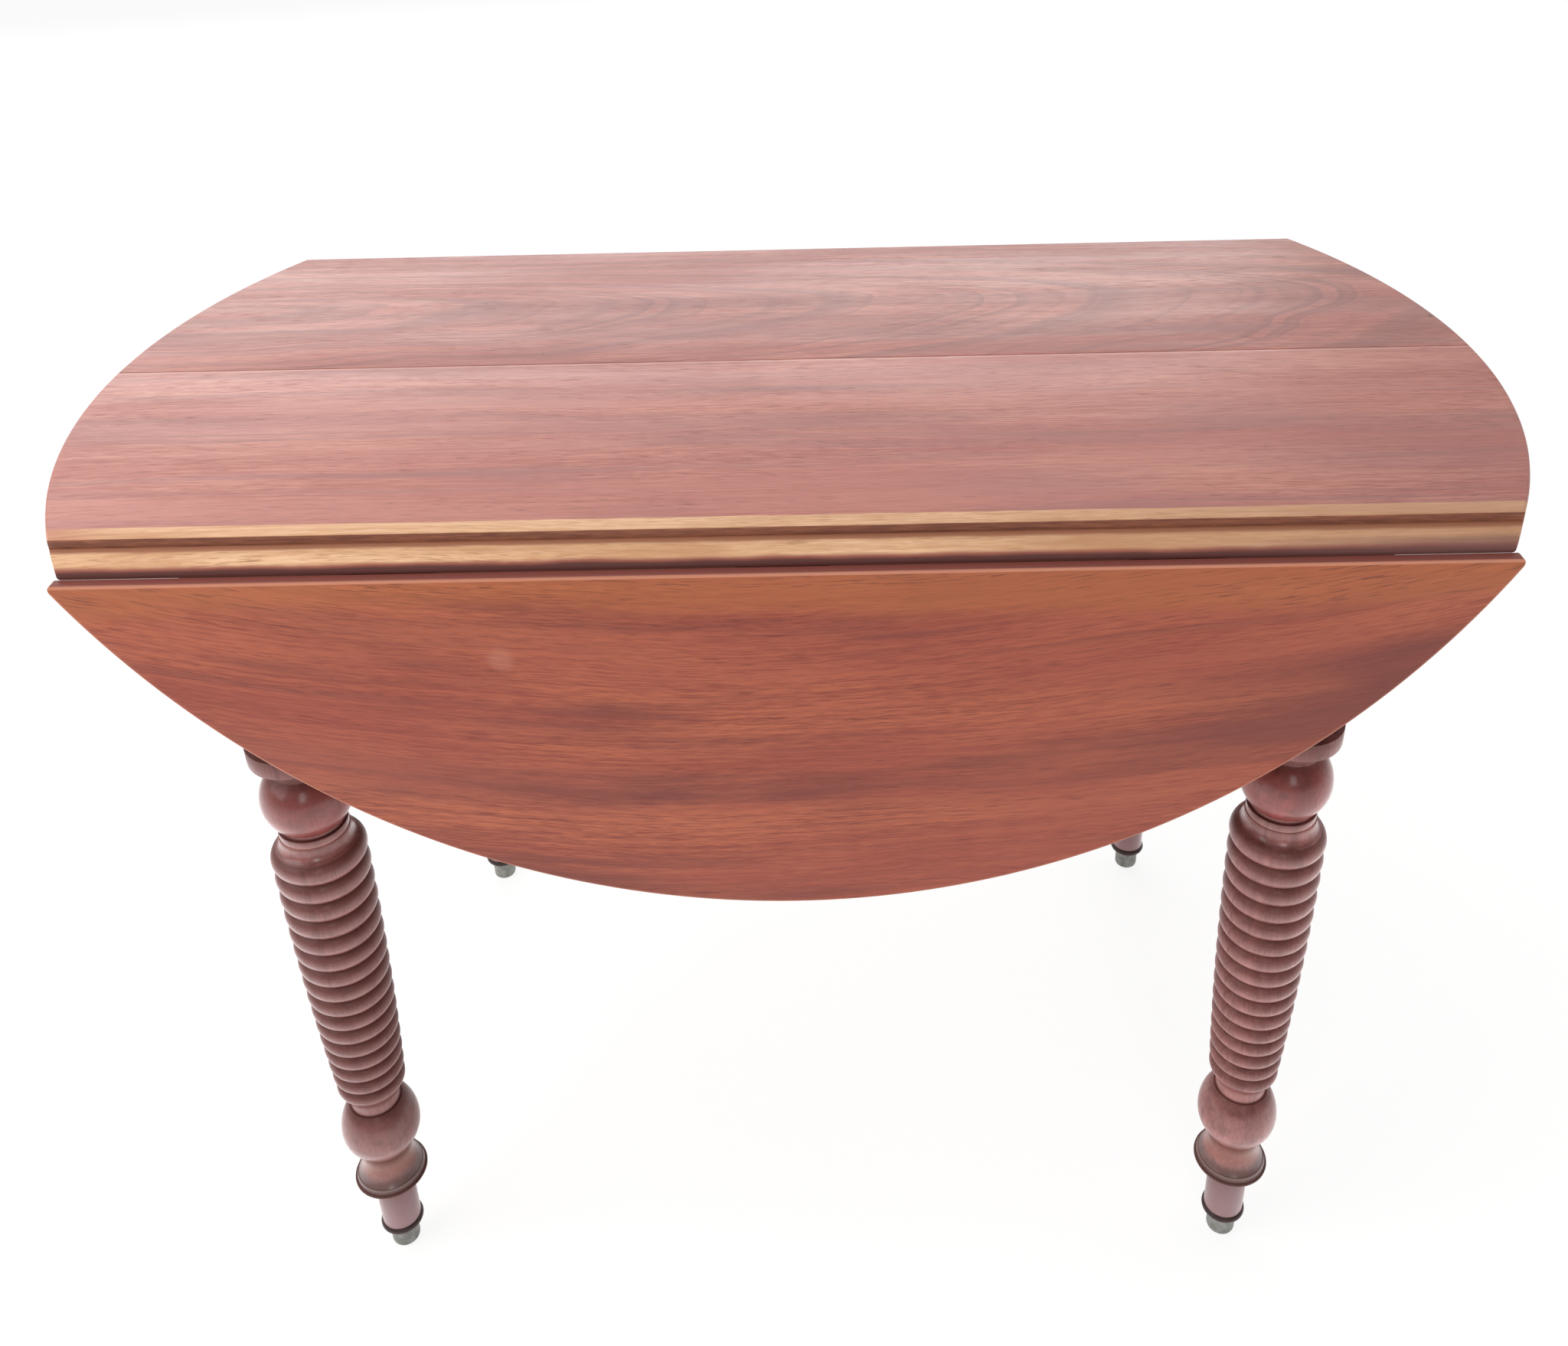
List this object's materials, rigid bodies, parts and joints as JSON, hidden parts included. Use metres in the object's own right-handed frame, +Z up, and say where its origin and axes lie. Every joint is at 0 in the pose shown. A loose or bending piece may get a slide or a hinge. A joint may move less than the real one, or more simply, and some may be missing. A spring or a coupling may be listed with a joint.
{
  "type": "round drop-leaf table",
  "caption": "Round wooden drop-leaf table with rule-jointed leaves that hang or swing level, on turned ring legs with small metal feet.",
  "frame": {"origin": "on the floor under the middle of the top", "axes": "+Z up, +X along the hinge lines, -Y towards the front leaf"},
  "size_m": [1.08, 0.571, 0.74],
  "materials": {
    "mahogany_top": "oiled and waxed, worn",
    "mahogany_leaf": "oiled and waxed, worn",
    "mahogany_leg": "polished dark",
    "mahogany_apron": "oiled and waxed, worn",
    "frame_wood": "plain planed",
    "hinge_iron": "dull dark",
    "screw_steel": "dull",
    "foot_metal": "dull grey"
  },
  "bodies": {
    "frame": {"apron_front": "mahogany_apron", "apron_left": "mahogany_apron", "apron_rear": "mahogany_apron", "apron_right": "mahogany_apron", "batten_left_inner": "frame_wood", "batten_left_outer": "frame_wood", "batten_right_inner": "frame_wood", "batten_right_outer": "frame_wood", "batten_screws": "screw_steel", "foot_ferrule_front_left": "foot_metal", "foot_ferrule_front_right": "foot_metal", "foot_ferrule_rear_left": "foot_metal", "foot_ferrule_rear_right": "foot_metal", "glue_blocks_left": "frame_wood", "glue_blocks_right": "frame_wood", "hinge_pin_front_1": "hinge_iron", "hinge_pin_front_2": "hinge_iron", "hinge_pin_front_3": "hinge_iron", "hinge_pin_rear_1": "hinge_iron", "hinge_pin_rear_2": "hinge_iron", "hinge_pin_rear_3": "hinge_iron", "hinge_plate_front_1": "hinge_iron", "hinge_plate_front_2": "hinge_iron", "hinge_plate_front_3": "hinge_iron", "hinge_plate_rear_1": "hinge_iron", "hinge_plate_rear_2": "hinge_iron", "hinge_plate_rear_3": "hinge_iron", "hinge_plate_screws_front": "screw_steel", "hinge_plate_screws_rear": "screw_steel", "joint_pegs": "frame_wood", "keeper_screws": "screw_steel", "leg_front_left": "mahogany_leg", "leg_front_right": "mahogany_leg", "leg_rear_left": "mahogany_leg", "leg_rear_right": "mahogany_leg", "loper_front_left": "frame_wood", "loper_front_right": "frame_wood", "loper_keeper_front_left": "frame_wood", "loper_keeper_front_right": "frame_wood", "loper_keeper_rear_left": "frame_wood", "loper_keeper_rear_right": "frame_wood", "loper_rear_left": "frame_wood", "loper_rear_right": "frame_wood", "loper_stops": "frame_wood", "seam_tongue": "frame_wood", "top_board_front": "mahogany_top", "top_board_rear": "mahogany_top"},
    "front_leaf": {"hinge_flap_front_1": "hinge_iron", "hinge_flap_front_2": "hinge_iron", "hinge_flap_front_3": "hinge_iron", "hinge_flap_screws_front": "screw_steel", "leaf_front": "mahogany_leaf"},
    "rear_leaf": {"hinge_flap_rear_1": "hinge_iron", "hinge_flap_rear_2": "hinge_iron", "hinge_flap_rear_3": "hinge_iron", "hinge_flap_screws_rear": "screw_steel", "leaf_rear": "mahogany_leaf"}
  },
  "joints": [
    {"name": "front_leaf_hinge", "type": "hinge", "parent": "frame", "child": "front_leaf", "pos_m": [0, -0.264, 0.7185], "axis": [-1, 0, 0], "range_deg": [0, 90]},
    {"name": "rear_leaf_hinge", "type": "hinge", "parent": "frame", "child": "rear_leaf", "pos_m": [0, 0.264, 0.7185], "axis": [1, 0, 0], "range_deg": [0, 90]}
  ]
}
